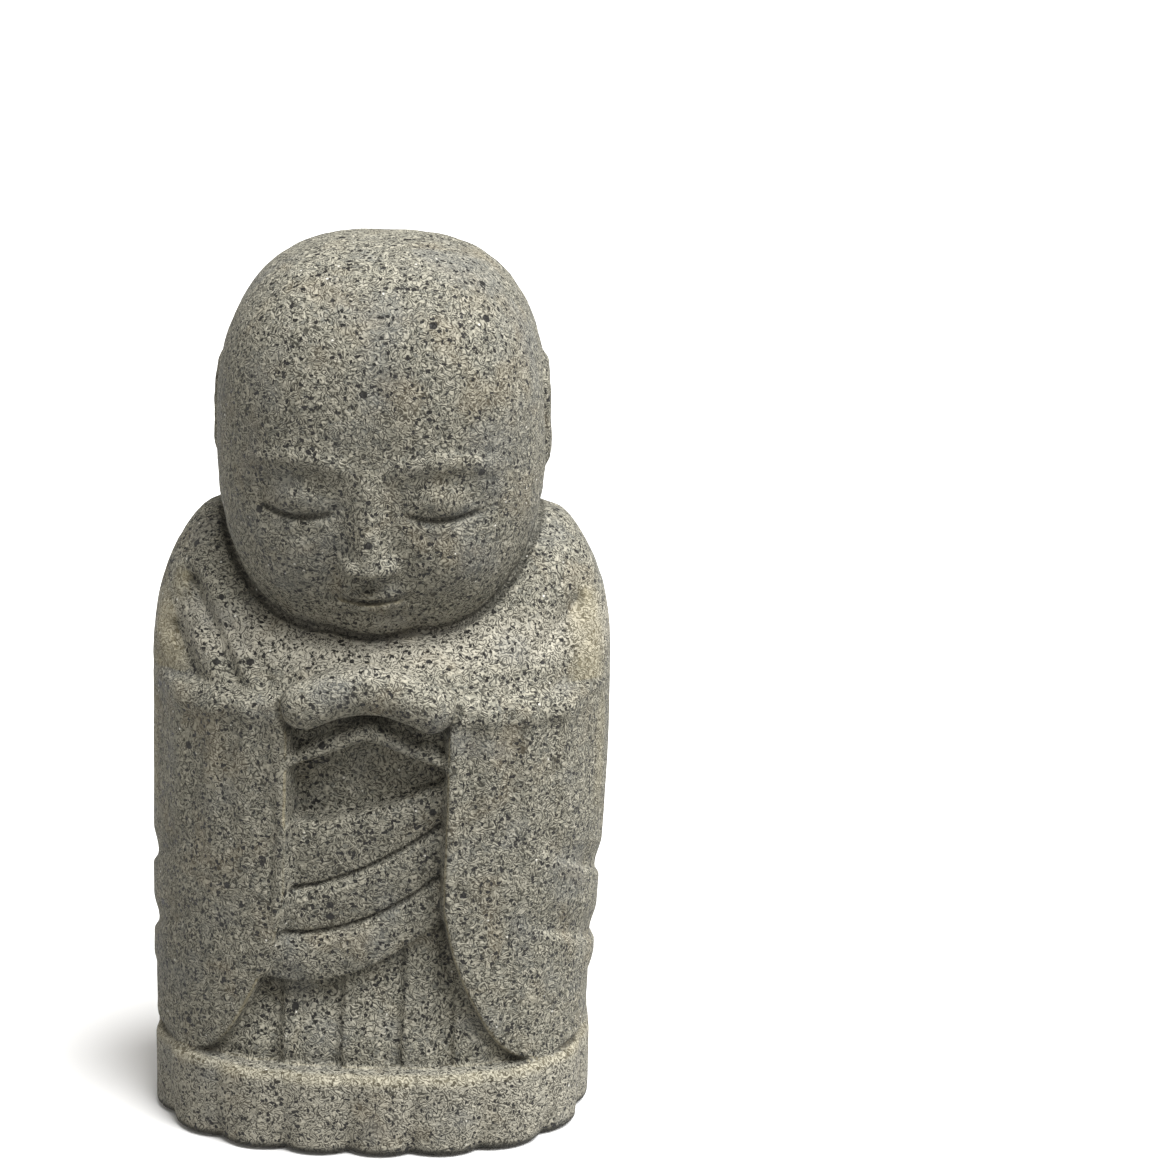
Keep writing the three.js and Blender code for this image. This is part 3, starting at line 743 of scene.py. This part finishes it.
def granite(look):
    """Fine-grained grey granite: feldspar, quartz and mica grains, cleaner on the worn edges, which also
    carry a painted highlight; with painted light on the foot band and chest slope, painted shade in the
    hollows, a painted contact shadow at the foot and painted glints.
    """
    material = bpy.data.materials.new("granite")
    graph = Graph(material)
    place = graph.node("ShaderNodeTexCoord").outputs["Object"]

    # a little warping keeps the grains from looking like round cells
    wander = graph.noise(place, 900.0, 1.0).outputs["Color"]
    wander = graph.scaled(graph.moved(wander, (-0.5, -0.5, -0.5)), (0.0011, 0.0011, 0.0011))
    warped = graph.moved(place, wander)

    # the feldspar and quartz grains
    grain_edge, grain_chance = graph.cells(warped, MICA_SCALE)
    grains = graph.node(
        "ShaderNodeValToRGB",
        {
            "stops": [
                (0.00, linear((0.43, 0.435, 0.41))),
                (0.25, linear((0.50, 0.495, 0.45))),
                (0.55, linear((0.555, 0.545, 0.495))),
                (0.80, linear((0.605, 0.595, 0.54))),
                (1.00, linear((0.70, 0.685, 0.63))),
            ]
        },
        {"Fac": grain_chance[0]},
    )
    colour = graph.mix(0.75, linear(look.stone), grains.outputs["Color"])

    # painted light: the band at the foot is painted paler in place of light bounced up from the floor, and
    # the slope between hands and head is painted paler as if lit from above
    level = Amount(graph, graph.node("ShaderNodeSeparateXYZ", {}, {"Vector": place}).outputs["Z"])
    painted_foot_light = level.ramp(1.15 * BAND_TOP * MM, 0.85 * BAND_TOP * MM)
    painted_chest_light = level.ramp(PAINTED_CHEST_LIGHT_FROM, PAINTED_CHEST_LIGHT_FROM + 0.007) * level.ramp(PAINTED_CHEST_LIGHT_TO, PAINTED_CHEST_LIGHT_TO - 0.011)
    colour = graph.mix(painted_foot_light * 0.35 + painted_chest_light * 0.52, colour, linear((0.76, 0.74, 0.68)))

    # short swirling strokes, dark and light, left by the point of the tool
    wave = (graph.cloud(place, 330.0, 1.0, 0.5) * STROKE_TURNS).sine()
    cross_wave = (graph.cloud(graph.moved(place, (0.2, 0.4, 0.1)), 370.0, 1.0, 0.5) * STROKE_TURNS).sine()
    broken = graph.cloud(place, 560.0, 1.0)
    dull = wave.ramp(-0.3, -0.95) * broken.ramp(0.42, 0.54)
    dull = (cross_wave.ramp(-0.35, -0.95) * broken.ramp(0.6, 0.46) + dull).ramp(0.0, 1.0)
    bright = wave.ramp(0.1, 0.9) * broken.ramp(0.36, 0.56)
    colour = graph.mix(bright * 0.42, colour, linear((0.76, 0.74, 0.67)))
    colour = graph.mix(dull * 0.85, colour, linear((0.17, 0.165, 0.14)))

    # broad warm and cool patches
    rusty = graph.cloud(place, 55.0, 3.0, 0.5).ramp(0.52, 0.72)
    colour = graph.mix(rusty * 0.18, colour, linear(look.rust))
    cool = graph.cloud(graph.moved(place, (0.3, 0.1, 0.2)), 48.0, 3.0)
    colour = graph.mix(cool.ramp(0.5, 0.7) * 0.3, colour, linear((0.45, 0.46, 0.46)))

    # black mica: short dashes in two directions, and sparse larger spots
    specks = 0.0
    for stretch, scale, rare in (((1.0, 1.0, 0.6), MICA_SCALE, 0.81), ((0.65, 0.8, 1.0), 680.0, 0.83)):
        away, chance = graph.cells(graph.scaled(warped, stretch), scale)
        specks = away.ramp(0.42, 0.35) * chance[1].ramp(rare, rare + 0.02) + specks
    spot_away, spot_chance = graph.cells(warped, SPOT_SCALE)
    spots = spot_away.ramp(0.125, 0.095) * spot_chance[0].ramp(0.6, 0.62)
    dark = (specks + spots).ramp(0.0, 1.0)
    colour = graph.mix(dark * 0.97, colour, linear((0.05, 0.045, 0.037)))

    # convex edges are paler, partly from wear and partly as a painted highlight; hollows and recesses get
    # painted shade
    ridge = graph.marked("ridge").ramp(0.08, 0.5)
    colour = graph.mix(ridge * 0.38, colour, linear(look.ridge))
    hollow = graph.marked("hollow").ramp(0.15, 0.9)
    shade = graph.marked("shade").ramp(0.25, 0.95)
    # painted shade: darker in narrow hollows, and a little darker in wider recesses
    colour = graph.mix(hollow * 0.55, colour, linear((0.2, 0.195, 0.17)))
    colour = graph.mix(shade * 0.15, colour, linear((0.24, 0.24, 0.22)))

    # painted contact shadow: the edge that stands on the ground is painted dark
    contact_shadow = level.ramp(CONTACT_SHADOW_TOP, CONTACT_SHADOW_TOP - 0.0022)
    colour = graph.mix(contact_shadow * 0.85, colour, linear((0.07, 0.07, 0.06)))

    # painted glint: tiny crystal faces painted near white as if catching the light; the same spots are
    # also smoother
    glint_away, glint_chance = graph.cells(place, 330.0)
    painted_glint = glint_away.ramp(0.16, 0.1) * glint_chance[0].ramp(0.93, 0.94)
    colour = graph.mix(painted_glint * 0.85, colour, linear((0.93, 0.92, 0.88)))

    roughness = 0.82 - dark * 0.2 - painted_glint * 0.45
    coarse = graph.cloud(place, 330.0, 3.0, 0.6)
    height = coarse * 0.9 + grain_edge * 0.35 + bright * 0.4 - dull * 0.6 - dark * 0.25
    bump = graph.node("ShaderNodeBump", {}, {"Strength": 0.8, "Distance": 0.0007, "Height": height})
    values = {
        "Base Color": colour,
        "Roughness": roughness,
        "Normal": bump.outputs["Normal"],
        "Specular IOR Level": 0.35,
    }
    shader = graph.node("ShaderNodeBsdfPrincipled", {}, values)
    graph.node("ShaderNodeOutputMaterial", {}, {"Surface": shader.outputs["BSDF"]})
    return material


# Properties ------------------------------------------------------------------------------------
class JizoLook(bpy.types.PropertyGroup):
    """Colours and fineness of the stone."""

    grain_step: FloatProperty(
        name="Carving step",
        description="Spacing of the grid that the surface is cut from",
        default=0.0009,
        min=0.0004,
        unit="LENGTH",
        subtype="DISTANCE",
    )
    stone: FloatVectorProperty(
        name="Stone",
        description="Colour between the grains, as seen on a screen",
        default=(0.52, 0.505, 0.45),
        subtype="COLOR_GAMMA",
        min=0.0,
        max=1.0,
    )
    rust: FloatVectorProperty(
        name="Iron stain",
        description="Colour of the broad warm patches",
        default=(0.55, 0.48, 0.36),
        subtype="COLOR_GAMMA",
        min=0.0,
        max=1.0,
    )
    # colour of convex edges: partly worn stone, partly a painted highlight
    ridge: FloatVectorProperty(
        name="Worn ridge and painted highlight",
        description="Colour of the bruised and worn edges",
        default=(0.74, 0.695, 0.56),
        subtype="COLOR_GAMMA",
        min=0.0,
        max=1.0,
    )


class JizoStage(bpy.types.PropertyGroup):
    """Floor, lights and camera."""

    floor_size: FloatProperty(
        name="Floor",
        description="Side of the square floor",
        default=60.0,
        unit="LENGTH",
        subtype="DISTANCE",
    )
    room_light: FloatProperty(
        name="Room light",
        description="Strength of the even light from all round",
        default=0.48,
        min=0.0,
    )
    window_light: FloatProperty(
        name="Window light",
        description="Strength of the broad light from the upper right, in watts per square metre",
        default=6.4,
        min=0.0,
    )
    window_softness: FloatProperty(
        name="Window softness",
        description="How broad the light is as seen from the statue",
        default=math.radians(50),
        unit="ROTATION",
        subtype="ANGLE",
    )
    window_side: FloatProperty(
        name="Window side",
        description="How far round to the viewer's right the light comes from",
        default=math.radians(62),
        unit="ROTATION",
        subtype="ANGLE",
    )
    window_height: FloatProperty(
        name="Window elevation",
        description="How far above level the light comes from",
        default=math.radians(62),
        unit="ROTATION",
        subtype="ANGLE",
    )
    camera_distance: FloatProperty(
        name="Camera distance",
        description="From the middle of the statue to the camera",
        default=1.1,
        unit="LENGTH",
        subtype="DISTANCE",
    )
    camera_azimuth: FloatProperty(
        name="Camera side",
        description="How far round to the viewer's right the camera stands",
        default=math.radians(5),
        unit="ROTATION",
        subtype="ANGLE",
    )
    camera_height: FloatProperty(
        name="Camera elevation",
        description="How far above level the camera stands",
        default=math.radians(16.5),
        unit="ROTATION",
        subtype="ANGLE",
    )


# Pieces ----------------------------------------------------------------------------------------
MOST_TRIANGLES = 196000


class JIZO_OT_statue(bpy.types.Operator):
    """Carve the granite statue"""

    bl_idname = "jizo.statue"
    bl_label = "Carve the statue"

    def execute(self, context):
        look = context.scene.jizo_look
        step = look.grain_step / MM
        statue = carve_statue(step, MOST_TRIANGLES)
        statue.data.materials.clear()
        statue.data.materials.append(granite(look))
        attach(statue, "root")
        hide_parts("statue")
        return {"FINISHED"}


def aim(place, heading, pitch, roll):
    """World matrix of a thing at a place that looks level along +Y, then turned, tipped and rolled."""
    turned = Matrix.Rotation(heading, 4, "Z") @ Matrix.Rotation(math.pi / 2 - pitch, 4, "X")
    return Matrix.Translation(place) @ turned @ Matrix.Rotation(roll, 4, "Z")


class JIZO_OT_stage(bpy.types.Operator):
    """Set the floor, the soft lights and the camera"""

    bl_idname = "jizo.stage"
    bl_label = "Set the stage"

    def execute(self, context):
        stage = context.scene.jizo_stage
        scene = context.scene
        scene.view_settings.view_transform = "Standard"
        self.floor(stage)
        self.lights(scene, stage)
        self.camera(scene, stage)
        return {"FINISHED"}

    def floor(self, stage):
        bpy.ops.mesh.primitive_plane_add(size=stage.floor_size, location=(0, 0, 0))
        floor = bpy.context.object
        floor.name = "floor"
        material = bpy.data.materials.new("pale_floor")
        graph = Graph(material)
        values = {"Base Color": (0.92, 0.92, 0.917, 1.0), "Roughness": 0.9}
        shader = graph.node("ShaderNodeBsdfPrincipled", {}, values)
        graph.node("ShaderNodeOutputMaterial", {}, {"Surface": shader.outputs["BSDF"]})
        floor.data.materials.append(material)
        # a white floor this wide would wash out the shaded side of the stone
        floor.visible_diffuse = False

    def lights(self, scene, stage):
        world = bpy.data.worlds.new("soft_room")
        world.use_nodes = True
        background = world.node_tree.nodes["Background"]
        background.inputs["Color"].default_value = (1.0, 0.975, 0.93, 1.0)
        background.inputs["Strength"].default_value = stage.room_light
        scene.world = world
        lamp = bpy.data.lights.new("window", "SUN")
        lamp.energy = stage.window_light
        lamp.angle = stage.window_softness
        window = bpy.data.objects.new("window", lamp)
        side, up = stage.window_side, stage.window_height
        level = math.cos(up)
        towards = Vector((math.sin(side) * level, -math.cos(side) * level, math.sin(up)))
        window.matrix_world = towards.to_track_quat("Z", "Y").to_matrix().to_4x4()
        scene.collection.objects.link(window)

    def camera(self, scene, stage):
        a, e = stage.camera_azimuth, stage.camera_height
        centre = Vector((0, 0, HEIGHT * MM / 2))
        back = Vector((math.sin(a) * math.cos(e), -math.cos(a) * math.cos(e), math.sin(e)))
        data = bpy.data.cameras.new("camera")
        data.sensor_width = 36.0
        data.lens = 100.1
        data.clip_start = 0.01
        data.clip_end = 200.0
        camera = bpy.data.objects.new("camera", data)
        # turned and tipped so that the statue stands to the left and a little low
        heading, pitch, roll = math.radians(1.369), math.radians(14.881), math.radians(1.3)
        camera.matrix_world = aim(centre + back * stage.camera_distance, heading, pitch, roll)
        scene.collection.objects.link(camera)
        scene.camera = camera


class JIZO_PT_panel(bpy.types.Panel):
    """Lists the steps of the statue"""

    bl_idname = "JIZO_PT_panel"
    bl_label = "Granite Jizo"
    bl_space_type = "VIEW_3D"
    bl_region_type = "UI"
    bl_category = "Jizo"

    def draw(self, context):
        for group in (context.scene.jizo_look, context.scene.jizo_stage):
            for name in group.__annotations__:
                self.layout.prop(group, name)
        self.layout.operator(JIZO_OT_stage.bl_idname)
        self.layout.operator(JIZO_OT_statue.bl_idname)


CLASSES = (JizoLook, JizoStage, JIZO_OT_statue, JIZO_OT_stage, JIZO_PT_panel)


def register():
    for kind in CLASSES:
        bpy.utils.register_class(kind)
    bpy.types.Scene.jizo_look = PointerProperty(type=JizoLook)
    bpy.types.Scene.jizo_stage = PointerProperty(type=JizoStage)


def unregister():
    del bpy.types.Scene.jizo_stage
    del bpy.types.Scene.jizo_look
    for kind in reversed(CLASSES):
        bpy.utils.unregister_class(kind)


def main():
    register()
    bpy.ops.jizo.stage()
    bpy.ops.jizo.statue()


if __name__ == "__main__":
    main()
